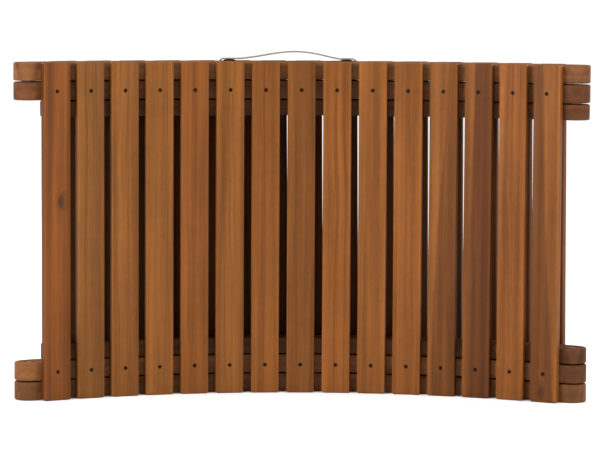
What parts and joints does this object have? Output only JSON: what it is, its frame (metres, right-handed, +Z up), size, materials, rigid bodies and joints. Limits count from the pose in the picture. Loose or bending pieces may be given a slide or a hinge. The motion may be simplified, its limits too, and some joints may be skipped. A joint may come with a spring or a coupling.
{
  "type": "folding slatted lounger",
  "caption": "Folding lounger of curved acacia slats on nested rails, folded flat and standing on its long edge, with a webbing carrying strap.",
  "frame": {"origin": "under the middle of the whole folded object, at the height of the long edge it stands on", "axes": "+X along the folded lounger from the fold pivots' end to the leg pivots' end, +Y towards the convex rear side, +Z up along the slats"},
  "size_m": [0.9438, 0.1884, 0.572],
  "materials": {
    "slat_wood": "oiled, warm orange-brown with darker streaks",
    "rail_wood": "oiled, reddish brown",
    "zinc_steel": "zinc plated, dulled",
    "strap_webbing": "flat woven beige webbing",
    "brown_plastic": "matt dark brown"
  },
  "bodies": {
    "back_panel": {"back_rail_lower": "rail_wood", "back_rail_upper": "rail_wood", "back_slat_01": "slat_wood", "back_slat_02": "slat_wood", "back_slat_03": "slat_wood", "back_slat_04": "slat_wood", "back_slat_05": "slat_wood", "back_slat_06": "slat_wood", "back_slat_07": "slat_wood", "back_slat_08": "slat_wood", "back_slat_09": "slat_wood", "back_slat_10": "slat_wood", "back_slat_11": "slat_wood", "back_slat_12": "slat_wood", "back_slat_13": "slat_wood", "back_slat_14": "slat_wood", "back_slat_15": "slat_wood", "crossbar_screw_1": "zinc_steel", "crossbar_screw_2": "zinc_steel", "crossbar_screw_3": "zinc_steel", "crossbar_screw_4": "zinc_steel", "fold_pivot_bolt_lower": "zinc_steel", "fold_pivot_bolt_upper": "zinc_steel", "fold_pivot_nut_lower": "zinc_steel", "fold_pivot_nut_upper": "zinc_steel", "fold_pivot_washer_lower": "zinc_steel", "fold_pivot_washer_upper": "zinc_steel", "leg_crossbar": "rail_wood", "leg_pivot_bolt_lower": "zinc_steel", "leg_pivot_bolt_upper": "zinc_steel", "leg_pivot_nut_lower": "zinc_steel", "leg_pivot_nut_upper": "zinc_steel", "leg_pivot_washer_lower": "zinc_steel", "leg_pivot_washer_upper": "zinc_steel", "leg_rail_lower": "rail_wood", "leg_rail_upper": "rail_wood"},
    "foot_panel": {"carry_strap": "strap_webbing", "foot_rail_lower": "rail_wood", "foot_rail_upper": "rail_wood", "foot_slat_01": "slat_wood", "foot_slat_02": "slat_wood", "foot_slat_03": "slat_wood", "foot_slat_04": "slat_wood", "foot_slat_05": "slat_wood", "foot_slat_06": "slat_wood", "foot_slat_07": "slat_wood", "foot_slat_08": "slat_wood", "foot_slat_09": "slat_wood", "foot_slat_10": "slat_wood", "foot_slat_11": "slat_wood", "foot_slat_12": "slat_wood", "foot_slat_13": "slat_wood", "foot_slat_14": "slat_wood", "foot_slat_15": "slat_wood", "strap_cup_1": "brown_plastic", "strap_cup_2": "brown_plastic", "strap_screw_1": "zinc_steel", "strap_screw_2": "zinc_steel"}
  },
  "joints": [
    {"name": "foot_panel_fold", "type": "hinge", "parent": "back_panel", "child": "foot_panel", "pos_m": [-0.44816, -0.06617, 0.2775], "axis": [0, 0, 1], "range_deg": [0, 180]}
  ]
}
